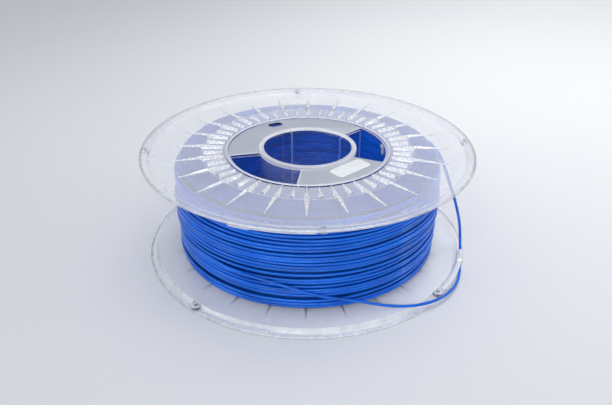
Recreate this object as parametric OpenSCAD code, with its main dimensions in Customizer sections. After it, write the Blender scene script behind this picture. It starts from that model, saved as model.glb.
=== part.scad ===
// Clear two-flange spool of blue filament, lying flat on its lower flange.
// Origin: spool axis, at the lowest face of the lower flange. +Z is the spool axis.

/* [Spool] */
// Outside diameter of both flanges
flange_d = 200; // [196:1:204]
// Overall width, from one lip to the other
spool_w = 67.4; // [64:0.1:70]
// Diameter of the central bore
bore_d = 53; // [51:0.5:54]
// Outside diameter of the drum that carries the winding
drum_d = 100; // [98:0.5:101]

/* [Flanges] */
// Thickness of the flange plate
plate_t = 1.8; // [1.6:0.1:2]
// How far the plate is set in from the lip's outer face
dish = 2.2; // [2:0.1:2.4]
// Thickness of the lip at the rim
lip_t = 1.4; // [1.2:0.1:1.6]
// Outer radius of the shallow ring trough around the hub
trough_r = 64.5; // [62:0.5:66]
// Depth of the ring trough
trough_depth = 0.8; // [0.5:0.1:1]

/* [Sunburst ribs] */
// Number of long spikes
spike_count = 24; // [12:1:24]
// Radius of the spike tips
spike_tip_r = 85; // [80:1:88]
// Width of a spike at its base
spike_w = 4; // [3:0.5:5]
// Height of a spike above the plate at its base
spike_h = 1.4; // [1:0.1:1.8]

/* [Rim clips] */
// Angle that one clip finger covers
clip_span = 26; // [20:1:30]
// Thickness of a clip finger
clip_t = 0.8; // [0.7:0.1:1]
// How far the filament lifts the finger that holds it
clip_lift = 2; // [1.9:0.1:2.2]
// Angle where the first clip on the lower flange begins, beside its eye
clip_eye_az = -37; // [-45:1:-35]

/* [Hub] */
// Wall thickness of the drum
drum_t = 1.8; // [1.5:0.1:2.2]
// Wall thickness of the bore tube
bore_t = 2; // [1.6:0.1:2.4]
// Thickness of the hub's end webs
web_t = 1.8; // [1.6:0.1:2.2]
// Depth of each end web below the plate's outer face
web_sink = 0.8; // [0.6:0.1:1]
// Thickness of the radial walls in the hub
wall_t = 1.4; // [1:0.1:1.8]
// How far the bore tube stands out of the plates
bore_stand = 1; // [0.6:0.1:1.4]

/* [Labels] */
// Thickness of a hub label
label_t = 0.4; // [0.3:0.1:0.6]
// Clear border around each label
label_border = 0.6; // [0.5:0.1:1.2]
// Length of the small blank sticker
sticker_l = 25; // [20:1:26]
// Width of the small blank sticker
sticker_w = 11; // [9:0.5:12]

/* [Filament] */
// Diameter of the filament
filament_d = 1.75; // [1.7:0.05:1.8]
// Outside diameter of the winding
winding_d = 160; // [150:1:162]
// Spacing of the turns across the spool
turn_pitch = 2.376; // [2.2:0.1:2.6]

/* [Hidden] */
$fn = 96;

CLEAR = [0.86, 0.88, 0.92, 0.45];
LABEL_GREY = [0.64, 0.67, 0.73];
STICKER_WHITE = [0.9, 0.92, 0.92];
FILAMENT_BLUE = [0.1, 0.33, 0.85];

flange_r = flange_d / 2;
bore_r = bore_d / 2;
drum_r = drum_d / 2;
drum_in_r = drum_r - drum_t;
tube_out_r = bore_r + bore_t;
plate_in = dish + plate_t;
edge_round = 0.3;
lip_in_r = flange_r - 3.4;
step_in_r = flange_r - 4.6;
step_under_r = flange_r - 5.8;
seat_t = 0.8;
gap_r = drum_r + 1.2;
button_count = 16;
button_r = 92;
button_d = 2.4;
button_h = 0.5;
eye_d = 2.2;
eye_r = flange_r - 3;
eye_gap = 2;
boss_d = 5.6;
lower_boss_top = lip_t + 2;
upper_boss_top = lip_t + 0.8;
finger_in_r = flange_r - 3.2;
finger_out_r = flange_r - 0.4;
finger_edge = 0.2;
clip_post_a = 1.6;
upper_clip_shift = 40;
clip_pad_a = 6.5;
clip_pad_h = 0.6;
rib_in_r = gap_r + 0.2;
rib_out_r = trough_r - 0.1;
web_out = dish + web_sink;
web_in = web_out + web_t;
slot_az = 120;
slot_r = 43;
slot_l = 8.6;
slot_w = 5;
notch_w = 2;
hook_w = 3;
hook_h = 6;
hook_out = 1.8;
hook_back_r = sqrt(drum_in_r * drum_in_r - hook_w * hook_w / 4);
tail_hole_d = 2.2;
tail_az = 80;
tail_z = 20;
tail_in_r = 43;
bead_r = tube_out_r + 1.1;
sticker_t = 0.3;
sticker_r = 36;
sticker_az = -47;
sticker_corner = 2.5;
winding_r = winding_d / 2;
groove = 0.8;
lead_sides = 8;
lead_steps = 2;

// Angles of the five radial walls. Sectors 1 and 3 are open windows, the others are panels.
wall_az = [-168, -96, -23, 44.5, 111];
window_sectors = [0, 2];
sector_end = [for (i = [0 : 4]) i < 4 ? wall_az[i + 1] : wall_az[0] + 360];
hook_az = [for (i = [0 : 4]) (wall_az[i] + sector_end[i]) / 2 + 2];
notch_az = [118, -171];

// Route of the loose end of the filament, from where it leaves the winding to where it goes back.
lead_route = [
    [14, -79.9, 12.4], [22, -78.4, 10.4], [31, -77.8, 8.4], [41, -77.9, 6.6], [51, -77.4, 5.4],
    [61, -75.4, 4.6], [70, -71.4, 4], [78, -65.4, 3.4], [84.5, -57.6, 3], [89, -49, 2.6],
    [91.8, -40, 2.4], [93.6, -31, 2.4], [95.2, -22.6, 2.8], [96.4, -16, 5.6], [96.6, -12, 10.5],
    [96, -10.4, 16.5], [94.6, -9.8, 23], [92.6, -9.4, 30], [90.2, -8.6, 37], [87.6, -6.6, 44],
    [85.4, -3, 50], [83.6, 2.4, 54.6], [82, 9, 57.4], [80, 16, 58.6], [77.8, 22.8, 59]
];

// Turns a lower part over, end for end, into the upper one. Angles about the axis stay.
module upper() { translate([0, 0, spool_w]) mirror([0, 0, 1]) children(); }

// Places a child at an angle and a radius, its own +X pointing outward.
module at(az, r, z = 0) { rotate([0, 0, az]) translate([r, 0, z]) children(); }

// A sector of a ring in plan, from one angle to another, up to 160 degrees apart.
module ring_sector(r_in, r_out, az_1, az_2) {
    far = 4 * r_out;
    mid = (az_1 + az_2) / 2;
    intersection() {
        difference() {
            circle(r = r_out);
            circle(r = r_in);
        }
        polygon([[0, 0], far * [cos(az_1), sin(az_1)], far * [cos(mid), sin(mid)], far * [cos(az_2), sin(az_2)]]);
    }
}

// ---------- flanges ----------
module flange_profile() {
    polygon([
        [drum_r, plate_in], [drum_r, plate_in - seat_t], [gap_r, plate_in - seat_t],
        [gap_r, dish + trough_depth], [trough_r, dish + trough_depth], [trough_r, dish],
        [step_under_r, dish], [step_in_r, 0],
        [flange_r - edge_round, 0], [flange_r, edge_round],
        [flange_r, lip_t - edge_round], [flange_r - edge_round, lip_t],
        [lip_in_r, lip_t], [step_in_r, plate_in]
    ]);
}

// One flange, seen as the lower one. Eyes for the end of the filament go through a boss on the lip.
module flange(eye_az, boss_top) {
    difference() {
        union() {
            rotate_extrude() flange_profile();
            for (i = [0 : button_count - 1])
                at(i * 360 / button_count + 10, button_r, dish - button_h)
                    cylinder(h = button_h + plate_t / 2, d = button_d);
            for (i = [0 : 3]) at(eye_az + 90 * i, eye_r, lip_t / 2) cylinder(h = boss_top - lip_t / 2, d = boss_d);
        }
        for (i = [0 : 3]) at(eye_az + 90 * i, eye_r, -1) cylinder(h = boss_top + 2, d = eye_d);
    }
}
module lower_flange() { color(CLEAR) flange(clip_eye_az - eye_gap, lower_boss_top); }
module upper_flange() { color(CLEAR) upper() flange(clip_eye_az + upper_clip_shift + eye_gap, upper_boss_top); }

// ---------- sunburst ribs ----------
// A ridge with a triangular section, from r_1 to r_2, its foot at z and its crest h_1 and h_2 beyond it.
module ridge(r_1, w_1, h_1, r_2, w_2, h_2, z) {
    polyhedron(
        points = [
            [r_1, -w_1 / 2, z], [r_1, w_1 / 2, z], [r_1, 0, z - h_1],
            [r_2, -w_2 / 2, z], [r_2, w_2 / 2, z], [r_2, 0, z - h_2]
        ],
        faces = [
            [2, 1, 0], [4, 5, 3],
            [1, 4, 3], [1, 3, 0],
            [2, 5, 4], [2, 4, 1],
            [3, 5, 2], [3, 2, 0]
        ]
    );
}
// A spike that runs out to a point on the plate.
module spike() {
    polyhedron(
        points = [
            [trough_r, -spike_w / 2, dish], [trough_r, spike_w / 2, dish],
            [trough_r, 0, dish - spike_h], [spike_tip_r, 0, dish]
        ],
        faces = [[2, 1, 0], [1, 3, 0], [2, 3, 1], [3, 2, 0]]
    );
}
module sunburst_ribs() {
    foot = dish + trough_depth;
    crest = spike_h + trough_depth;
    for (i = [0 : spike_count - 1]) rotate([0, 0, i * 360 / spike_count]) {
        spike();
        ridge(rib_in_r, spike_w / 2, crest - 0.6, rib_out_r, spike_w, crest, foot);
        rotate([0, 0, 180 / spike_count])
            ridge(rib_in_r, spike_w / 2 - 0.4, crest - 1, rib_out_r - 1.8, spike_w - 0.6, crest - 0.4, foot);
    }
}
module lower_sunburst_ribs() { color(CLEAR) sunburst_ribs(); }
module upper_sunburst_ribs() { color(CLEAR) upper() sunburst_ribs(); }

// ---------- rim clips ----------
// An arc of the lip, between two radii inset from a finger's own, two angles and two heights.
module lip_arc(az_1, az_2, low, high, inset = 0, edge = 0) {
    rotate([0, 0, az_1]) rotate_extrude(angle = az_2 - az_1) polygon([
        [finger_in_r + inset, low], [finger_out_r - inset, low],
        [finger_out_r - inset, high - edge], [finger_out_r - inset - edge, high],
        [finger_in_r + inset + edge, high], [finger_in_r + inset, high - edge]
    ]);
}
// A sprung finger that lies along the lip, with a pad at its free end. A lifted one stands on a post.
module clip_finger(lift) {
    low = lip_t + lift;
    top = low + clip_t;
    lip_arc(0, clip_span, low, top, 0, finger_edge);
    lip_arc(clip_span - clip_pad_a, clip_span - 0.2, low + clip_t / 2, top + clip_pad_h, 0.1, finger_edge);
    if (lift > 0) lip_arc(0.2, clip_post_a, lip_t, low + clip_t / 2, 0.1, 0.05);
}
module rim_clips(az, lifted) {
    for (i = [0 : 3]) rotate([0, 0, az + 90 * i]) clip_finger(i == 0 ? lifted : 0);
}
module lower_rim_clips() { color(CLEAR) rim_clips(clip_eye_az, clip_lift); }
module upper_rim_clips() {
    color(CLEAR) upper() mirror([0, 1, 0]) rim_clips(-clip_eye_az - upper_clip_shift, 0);
}

// ---------- hub ----------
// Angle that a given width takes at a given radius.
function angle_of(width, r) = width / r * 180 / PI;

module window_cut(i) {
    side = angle_of(wall_t / 2 + 0.4, 38);
    ring_sector(tube_out_r + 1.2, drum_in_r - 0.9, wall_az[i] + side, sector_end[i] - side);
}
module panel_outline(i) {
    side = angle_of(label_border, 38);
    ring_sector(bead_r + label_border, drum_in_r - label_border, wall_az[i] + side, sector_end[i] - side);
}
module key_slot(grow = 0) {
    at(slot_az, slot_r) for (s = [-1, 1])
        translate([0, s * (slot_l - slot_w) / 2]) circle(d = slot_w + grow);
    at(slot_az, slot_r) square([slot_w + grow, slot_l - slot_w], center = true);
}
module hub_web() {
    difference() {
        translate([0, 0, web_out]) linear_extrude(web_t) difference() {
            circle(r = drum_in_r);
            circle(r = tube_out_r);
            for (i = window_sectors) window_cut(i);
            key_slot();
            for (a = notch_az) at(a, bead_r + 0.9) square(notch_w, center = true);
        }
        translate([0, 0, web_out - 1]) linear_extrude(1 + label_t)
            for (i = [1, 3, 4]) panel_outline(i);
    }
}
module lower_hub_web() { color(CLEAR) hub_web(); }
module upper_hub_web() { color(CLEAR) upper() hub_web(); }

module hub_drum() {
    color(CLEAR) difference() {
        translate([0, 0, dish]) cylinder(h = spool_w - 2 * dish, r = drum_r);
        cylinder(h = spool_w, r = drum_in_r);
        at(tail_az, drum_in_r - 1, tail_z) rotate([0, 90, 0]) cylinder(h = drum_t + 2, d = tail_hole_d);
    }
}
module bore_tube() {
    low = dish - bore_stand;
    color(CLEAR) rotate_extrude() polygon([
        [bore_r, low], [bead_r - 0.5, low], [bead_r, low + 0.5],
        [bead_r, web_out], [tube_out_r, web_out],
        [tube_out_r, spool_w - web_out], [bead_r, spool_w - web_out],
        [bead_r, spool_w - low - 0.5], [bead_r - 0.5, spool_w - low], [bore_r, spool_w - low]
    ]);
}
// A radial wall between the bore tube and the drum, from one web to the other.
module hub_wall(i) {
    color(CLEAR) intersection() {
        translate([0, 0, web_in]) difference() {
            cylinder(h = spool_w - 2 * web_in, r = drum_in_r);
            translate([0, 0, -1]) cylinder(h = spool_w, r = tube_out_r);
        }
        rotate([0, 0, wall_az[i]]) translate([0, -wall_t / 2, 0]) cube([drum_r, wall_t, spool_w]);
    }
}
// A barbed hook inside the drum. A ring of them at each end holds the two halves of the spool together.
module snap_hook() {
    rotate([90, 0, 0]) translate([0, 0, -hook_w / 2]) linear_extrude(hook_w)
        polygon([
            [hook_back_r, -hook_h], [hook_back_r, 0], [hook_back_r - hook_out * 0.6, 0],
            [hook_back_r - hook_out, -1.2], [hook_back_r - 0.9, -2.6], [hook_back_r - 0.9, -hook_h]
        ]);
}
module hook_ring() {
    for (a = hook_az) rotate([0, 0, a]) translate([0, 0, spool_w - web_in]) snap_hook();
}
module snap_hooks() {
    color(CLEAR) hook_ring();
    color(CLEAR) upper() hook_ring();
}

// ---------- labels ----------
module hub_label(i) {
    color(LABEL_GREY) upper() translate([0, 0, web_out]) linear_extrude(label_t)
        difference() {
            panel_outline(i);
            key_slot(1.2);
        }
}
module front_hub_label() { hub_label(1); }
module rear_hub_label() { hub_label(3); }
module left_hub_label() { hub_label(4); }
module blank_sticker() {
    inset_l = sticker_l / 2 - sticker_corner;
    inset_w = sticker_w / 2 - sticker_corner;
    color(STICKER_WHITE) at(sticker_az, sticker_r, spool_w - web_out) linear_extrude(sticker_t) {
        square([sticker_w, 2 * inset_l], center = true);
        square([2 * inset_w, sticker_l], center = true);
        for (x = [-inset_w, inset_w], y = [-inset_l, inset_l]) translate([x, y]) circle(r = sticker_corner);
    }
}

// ---------- filament ----------
// The packed turns between the flanges, with a shallow groove between one turn and the next.
module filament_winding() {
    low = plate_in;
    high = spool_w - plate_in;
    turns = floor((high - low) / turn_pitch + 0.001);
    step = (high - low) / turns;
    color(FILAMENT_BLUE) rotate_extrude() polygon(concat(
        [[drum_r, low]],
        [for (i = [0 : turns - 1]) each [
            [winding_r - groove, low + i * step],
            [winding_r - groove * 0.15, low + (i + 0.25) * step],
            [winding_r, low + (i + 0.5) * step],
            [winding_r - groove * 0.15, low + (i + 0.75) * step]
        ]],
        [[winding_r - groove, high], [drum_r, high]]
    ));
}
// The first end of the filament, pushed through its hole in the drum.
module filament_inner_end() {
    color(FILAMENT_BLUE) at(tail_az, tail_in_r, tail_z) rotate([0, 90, 0])
        cylinder(h = drum_r - tail_in_r, d = filament_d);
}

// A smooth curve through the route: u is a whole number at each of its points.
function route_point(p, u) =
    let (
        n = len(p) - 1,
        i = min(floor(u), n - 1),
        t = u - i,
        a = p[max(i - 1, 0)],
        b = p[i],
        c = p[i + 1],
        d = p[min(i + 2, n)]
    )
    0.5 * (2 * b + (c - a) * t + (2 * a - 5 * b + 4 * c - d) * t * t + (3 * b - a - 3 * c + d) * t * t * t);
function unit(v) = v / norm(v);
// One ring of the tube, square to the curve, its first point on the side away from the spool axis.
function tube_ring(p, i, last, r) =
    let (
        here = p[i],
        along = unit(p[min(i + 1, last)] - p[max(i - 1, 0)]),
        out = unit([here.x, here.y, 0]),
        side = unit(out - (out * along) * along),
        up = cross(along, side)
    )
    [for (k = [0 : lead_sides - 1])
        let (a = 360 * (k + 0.5) / lead_sides)
        here + r * (cos(a) * side + sin(a) * up)];
module filament_lead() {
    last = (len(lead_route) - 1) * lead_steps;
    centre = [for (i = [0 : last]) route_point(lead_route, i / lead_steps)];
    rings = [for (i = [0 : last]) each tube_ring(centre, i, last, filament_d / 2)];
    sides = [for (i = [0 : last - 1], k = [0 : lead_sides - 1])
        let (n = (k + 1) % lead_sides, a = i * lead_sides, b = a + lead_sides)
        [a + k, b + k, b + n, a + n]];
    start_cap = [[for (k = [0 : lead_sides - 1]) k]];
    end_cap = [[for (k = [lead_sides - 1 : -1 : 0]) last * lead_sides + k]];
    color(FILAMENT_BLUE) polyhedron(points = rings, faces = concat(sides, start_cap, end_cap), convexity = 8);
}

upper_flange();
upper_sunburst_ribs();
upper_rim_clips();
lower_flange();
lower_sunburst_ribs();
lower_rim_clips();
upper_hub_web();
lower_hub_web();
hub_drum();
bore_tube();
hub_wall(0);  // hub_wall_1
hub_wall(1);  // hub_wall_2
hub_wall(2);  // hub_wall_3
hub_wall(3);  // hub_wall_4
hub_wall(4);  // hub_wall_5
snap_hooks();
front_hub_label();
rear_hub_label();
left_hub_label();
blank_sticker();
filament_winding();
filament_inner_end();
filament_lead();
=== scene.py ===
import math

import bmesh
import bpy
import numpy as np
from mathutils import Matrix, Vector


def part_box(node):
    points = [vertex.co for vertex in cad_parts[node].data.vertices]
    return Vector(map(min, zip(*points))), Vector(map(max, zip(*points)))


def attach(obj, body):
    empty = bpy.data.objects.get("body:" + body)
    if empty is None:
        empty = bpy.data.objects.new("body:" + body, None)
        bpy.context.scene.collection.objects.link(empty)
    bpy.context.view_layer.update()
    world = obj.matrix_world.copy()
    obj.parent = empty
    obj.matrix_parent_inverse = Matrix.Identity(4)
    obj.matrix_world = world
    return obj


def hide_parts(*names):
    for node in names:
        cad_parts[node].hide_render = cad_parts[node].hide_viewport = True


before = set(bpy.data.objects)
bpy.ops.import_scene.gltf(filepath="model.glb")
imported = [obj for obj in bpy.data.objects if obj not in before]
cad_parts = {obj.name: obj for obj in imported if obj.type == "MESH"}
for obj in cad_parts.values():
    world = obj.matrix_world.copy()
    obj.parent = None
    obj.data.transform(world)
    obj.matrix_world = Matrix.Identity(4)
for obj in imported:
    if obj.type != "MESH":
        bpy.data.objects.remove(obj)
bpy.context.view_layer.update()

MM = 0.001
TURN = 2 * math.pi


# ---------- sizes, from the frame ----------
def reach(node):
    """The largest radius of a CAD node, in metres."""
    low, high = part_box(node)
    return max(-low.x, high.x)


flange_r = reach("upper_flange")
spool_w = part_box("upper_flange")[1].z
plate_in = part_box("lower_flange")[1].z
drum_r = reach("hub_drum")
plate_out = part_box("hub_drum")[0].z
drum_in_r = reach("upper_hub_web")
web_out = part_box("lower_hub_web")[0].z
web_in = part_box("lower_hub_web")[1].z
bead_r = reach("bore_tube")
bore_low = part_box("bore_tube")[0].z
winding_r = reach("filament_winding")
label_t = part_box("front_hub_label")[1].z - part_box("front_hub_label")[0].z
sticker_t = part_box("blank_sticker")[1].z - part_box("blank_sticker")[0].z
spike_h = plate_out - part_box("lower_sunburst_ribs")[0].z

# Shapes inside the nodes, which their boxes don't give.
lip_t = 1.4 * MM
lip_in_r = flange_r - 3.4 * MM
step_in_r = flange_r - 4.6 * MM
rim_line_r = flange_r - 1.4 * MM
step_under_r = flange_r - 5.8 * MM
trough_r = 64.5 * MM
trough_out = plate_out + 0.8 * MM
gap_r = drum_r + 1.2 * MM
seat_t = 0.8 * MM
bore_r = 26.5 * MM
tube_out_r = 28.5 * MM
spike_count = 24
spike_tip_r = 85 * MM
spike_w = 4 * MM
rib_in_r = gap_r + 0.2 * MM
button_count = 16
button_ring_r = 92 * MM
button_first_az = math.radians(10)
button_r = 1.2 * MM
button_h = 0.4 * MM
eye_ring_r = flange_r - 3 * MM
eye_hole_r = 1.1 * MM
boss_r = 2.8 * MM
clip_span = math.radians(26)
clip_eye = math.radians(-37)
upper_clip_shift = math.radians(40)
clip_pad = math.radians(6.5)
clip_t = 0.8 * MM
clip_lift = 2 * MM
finger_in_r = flange_r - 3.2 * MM
finger_out_r = flange_r - 0.4 * MM
eye_gap = math.radians(2)
quarter = math.radians(90)
wall_t = 1.4 * MM
wall_az = [math.radians(a) for a in (-168, -96, -23, 44.5, 111)]
sector_end = wall_az[1:] + [wall_az[0] + TURN]
open_sectors = (0, 2)
closed_sectors = (1, 3, 4)
label_border = 0.2 * MM
sector_mid_r = 38 * MM
notch_az = (math.radians(118), math.radians(-171))
notch_r = bead_r + 0.9 * MM
notch_w = 2 * MM
key_slot_az = math.radians(120)
key_slot_r = 43 * MM
drum_t = 1.8 * MM
filament_r = 0.875 * MM
tail_az = math.radians(80)
tail_z = 20 * MM


def added(name, data):
    """A new object in the scene."""
    made = bpy.data.objects.new(name, data)
    bpy.context.scene.collection.objects.link(made)
    return made


# ---------- camera ----------
def make_camera():
    """The camera that was fitted to the photo's rims and bore."""
    place = Vector((0.00157, -0.37081, 0.23528))
    pitch, yaw, roll = (math.radians(a) for a in (29.35, -0.37, 0.33))
    flat = math.cos(pitch)
    look = Vector((math.sin(yaw) * flat, math.cos(yaw) * flat, -math.sin(pitch)))
    level = Vector((math.cos(yaw), -math.sin(yaw), 0))
    above = level.cross(look)
    right = math.cos(roll) * level + math.sin(roll) * above
    up = math.cos(roll) * above - math.sin(roll) * level
    camera = added("camera", bpy.data.cameras.new("camera"))
    camera.data.sensor_width = 36
    camera.data.lens = 39.38
    camera.data.clip_start = 0.01
    camera.data.clip_end = 20
    axes = Matrix((right, up, -look)).transposed()
    camera.matrix_world = Matrix.Translation(place) @ axes.to_4x4()
    bpy.context.scene.camera = camera


make_camera()


# ---------- materials ----------
class Nodes:
    """A new material's node tree, with short calls to add and join its nodes."""

    def __init__(self, name):
        self.material = bpy.data.materials.new(name)
        self.material.use_nodes = True
        self.tree = self.material.node_tree
        self.tree.nodes.clear()
        self.out = self.add("ShaderNodeOutputMaterial")

    def add(self, kind, **values):
        """A node. Values go to its inputs by name, with _ for a space, or to the node itself."""
        node = self.tree.nodes.new(kind)
        for key, value in values.items():
            socket = node.inputs.get(key.replace("_", " "))
            if socket is not None:
                socket.default_value = value
            else:
                setattr(node, key, value)
        return node

    def join(self, source, node, socket, output=0):
        self.tree.links.new(source.outputs[output], node.inputs[socket])

    def show(self, node):
        self.join(node, self.out, "Surface")
        return self.material

    def noise(self, scale, detail, roughness, stretch=(1, 1, 1)):
        """Noise over the piece's own space, which is the shared frame, in features per metre."""
        place = self.add("ShaderNodeTexCoord")
        mapping = self.add("ShaderNodeMapping", Scale=stretch)
        self.join(place, mapping, "Vector", "Object")
        noise = self.add("ShaderNodeTexNoise", Scale=scale, Detail=detail, Roughness=roughness)
        self.join(mapping, noise, "Vector")
        return noise

    def ranged(self, noise, low, high):
        """The middle half of the noise's range taken to low to high, and clamped there."""
        within = {"From_Min": 0.25, "From_Max": 0.75}
        ranged = self.add("ShaderNodeMapRange", To_Min=low, To_Max=high, **within)
        self.join(noise, ranged, "Value")
        return ranged

    def coloured(self, shader, share, colour_0, colour_1, socket="Base Color"):
        """Gives the shader's socket a colour between two, by a share from 0 to 1."""
        mix = self.add("ShaderNodeMix", data_type="RGBA")
        self.join(share, mix, "Factor")
        mix.inputs[6].default_value = (*colour_0, 1)
        mix.inputs[7].default_value = (*colour_1, 1)
        self.join(mix, shader, socket, 2)

    def calculated(self, operation, source, *numbers, output=0):
        """The source with numbers: its product, its power, or its product plus a number."""
        node = self.add("ShaderNodeMath", operation=operation)
        self.join(source, node, 0, output)
        for i, number in enumerate(numbers, 1):
            node.inputs[i].default_value = number
        return node

    def unshadowed(self, source):
        """The source, or 0 for a ray on its way to a light, so that it casts no shadow."""
        path = self.add("ShaderNodeLightPath")
        seen = self.calculated("MULTIPLY_ADD", path, -1, 1, output="Is Shadow Ray")
        kept = self.calculated("MULTIPLY", source)
        self.join(seen, kept, 1)
        return kept

    def slanted(self, facing, exponent):
        """From 0 where a surface is seen straight on to 1 where it is seen edge on."""
        return self.calculated("POWER", facing, exponent, output="Facing")

    def bump(self, source, strength, distance):
        bump = self.add("ShaderNodeBump", Strength=strength, Distance=distance)
        self.join(source, bump, "Height")
        return bump


def clear_plastic(
    name,
    haze,
    body,
    roughness=0.14,
    ripple=0.05,
    clear=(0.985, 0.99, 1),
    edge=(0.6, 0.63, 0.68),
    falloff=9,
    gleam=0.04,
    polish=0.06,
    mottle=0.08,
    grain=24,
):
    """Clear moulded plastic: see-through, a little milky, darker and with a hard gloss at a slant.

    haze is the share of milk, whose colour is body. It varies by mottle, with grain features per
    metre. What lies behind is tinted clear straight on, and edge at a slant that a higher falloff
    makes steeper. gleam is the gloss straight on, and polish its roughness.
    """
    m = Nodes(name)
    flow = m.bump(m.noise(38, 2, 0.4), ripple, 0.4 * MM)
    facing = m.add("ShaderNodeLayerWeight", Blend=0.5)
    m.join(flow, facing, "Normal")
    through = m.add("ShaderNodeBsdfTransparent")
    m.coloured(through, m.slanted(facing, falloff), clear, edge, "Color")
    milk = m.add("ShaderNodeBsdfPrincipled", Base_Color=(*body, 1), IOR=1.5, Specular_IOR_Level=0.1)
    m.join(m.ranged(m.noise(140, 6, 0.65), roughness - 0.08, roughness + 0.1), milk, "Roughness")
    m.join(flow, milk, "Normal")
    cloudy = m.add("ShaderNodeMixShader")
    clouds = m.ranged(m.noise(grain, 4, 0.6), haze * (1 - mottle), haze * (1 + mottle))
    m.join(m.unshadowed(clouds), cloudy, "Fac")
    m.join(through, cloudy, 1)
    m.join(milk, cloudy, 2)
    gloss = m.add("ShaderNodeBsdfAnisotropic", Color=(1, 1, 1, 1), Roughness=polish)
    m.join(flow, gloss, "Normal")
    slant = m.calculated("MULTIPLY_ADD", m.slanted(facing, 5), 1 - gleam, gleam)
    surface = m.add("ShaderNodeMixShader")
    m.join(m.unshadowed(slant), surface, "Fac")
    m.join(cloudy, surface, 1)
    m.join(gloss, surface, 2)
    return m.show(surface)


def filament_plastic(name, shade, shine):
    """Extruded filament: satin blue, with faint draw lines and slow changes of tone round it. shade
    scales the blue, which paints shade or light into a copy.
    """
    m = Nodes(name)
    tint = (0.45, 0.7, 1, 1)
    skin = m.add("ShaderNodeBsdfPrincipled", IOR=1.5, Specular_IOR_Level=shine, Specular_Tint=tint)
    deep = (0.001 * shade, 0.07 * shade, 0.46 * shade)
    bright = (0.002 * shade, 0.2 * shade, 1.0 * shade)
    m.coloured(skin, m.ranged(m.noise(30, 4, 0.6, (1, 1, 14)), 0, 1), deep, bright)
    m.join(m.ranged(m.noise(420, 5, 0.7), 0.07, 0.15), skin, "Roughness")
    draw_lines = m.noise(900, 3, 0.5, (0.3, 0.3, 1))
    m.join(m.bump(draw_lines, 0.12, 0.1 * MM), skin, "Normal")
    return m.show(skin)


def grained_card(name, dark, light, blotches, rough, fine, grain, relief, **finish):
    """Blank card or paper, a little blotchy and with a fine grain."""
    m = Nodes(name)
    card = m.add("ShaderNodeBsdfPrincipled", IOR=1.45, **finish)
    m.coloured(card, m.ranged(m.noise(blotches, 5, 0.6), 0, 1), dark, light)
    m.join(m.ranged(m.noise(fine, 4, 0.6), *rough), card, "Roughness")
    m.join(m.bump(m.noise(*grain), relief, 0.1 * MM), card, "Normal")
    return m.show(card)


# The flanges' plates, the upper and the lower; the lower one lighter and milkier, in painted light.
plate_clear = clear_plastic(
    "plate_clear", 0.28, (0.93, 0.94, 0.97), 0.3, 0.02, polish=0.1,
)
lit_low_plate_clear = clear_plastic(
    "lit_low_plate_clear", 0.31, (0.99, 0.99, 0.99), 0.3, 0.02, edge=(0.72, 0.74, 0.78), polish=0.1,
)
# The ribs, milky white with mottled glitter in painted highlight; the upper ones' flanks and the
# lower ones' feet darkened in painted shade.
rib_highlight_clear = clear_plastic(
    "rib_highlight_clear", 0.64, (0.99, 0.99, 1),
    edge=(0.08, 0.1, 0.15), falloff=3, gleam=0.14, mottle=0.75, grain=560,
)
# Darkened flanks of the upper ribs: painted shade.
rib_shaded_flank = clear_plastic(
    "rib_shaded_flank", 0.25, (0.8, 0.85, 0.95), clear=(0.5, 0.54, 0.64),
    edge=(0.08, 0.1, 0.15), falloff=3, gleam=0.1, mottle=0.4, grain=300,
)
# Nearly black, see-through feet of the lower ribs: painted shade.
under_rib_shaded_foot = clear_plastic(
    "under_rib_shaded_foot", 0.08, (0.5, 0.54, 0.62), clear=(0.1, 0.115, 0.15),
    edge=(0.1, 0.12, 0.17), falloff=3, gleam=0.06, mottle=0.3, grain=200,
)
# The lip: its rim, milky, with mottled painted highlight; the lower lip's seam with the plate, a
# whiter band of painted highlight; the bosses' sides, darkened in painted shade; the clips; and the
# lifted clip, whose top is white in painted highlight.
rim_glint_clear = clear_plastic(
    "rim_glint_clear", 0.3, (0.97, 0.98, 1), 0.16, 0.1,
    edge=(0.08, 0.1, 0.13), falloff=1.8, gleam=0.08, polish=0.2, mottle=0.7, grain=170,
)
seam_highlight_clear = clear_plastic(
    "seam_highlight_clear", 0.42, (0.98, 0.985, 1), ripple=0.1,
    edge=(0.1, 0.12, 0.16), falloff=3, gleam=0.1, polish=0.2, mottle=0.45, grain=60,
)
boss_shaded_side = clear_plastic(
    "boss_shaded_side", 0.1, (0.6, 0.63, 0.7), clear=(0.42, 0.45, 0.5),
    edge=(0.1, 0.12, 0.16), falloff=3, gleam=0.1, polish=0.08, mottle=0.3, grain=200,
)
clip_clear = clear_plastic(
    "clip_clear", 0.3, (0.98, 0.98, 1), edge=(0.12, 0.14, 0.19), falloff=3, gleam=0.1, polish=0.1,
)
arc_highlight_clear = clear_plastic(
    "arc_highlight_clear", 0.92, (1, 1, 1), ripple=0.03,
    edge=(0.3, 0.32, 0.36), falloff=5, gleam=0.3, polish=0.12,
)
# The rings, bosses and ends of the hub's parts, the trough and the hooks.
ring_clear = clear_plastic(
    "ring_clear", 0.66, (0.98, 0.985, 1), 0.2, 0.04,
    edge=(0.4, 0.43, 0.5), falloff=5, gleam=0.1, polish=0.12,
)
trough_clear = clear_plastic(
    "trough_clear", 0.4, (0.95, 0.96, 1), 0.16, 0.1,
    edge=(0.3, 0.33, 0.4), falloff=4, gleam=0.08, polish=0.08,
)
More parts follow.
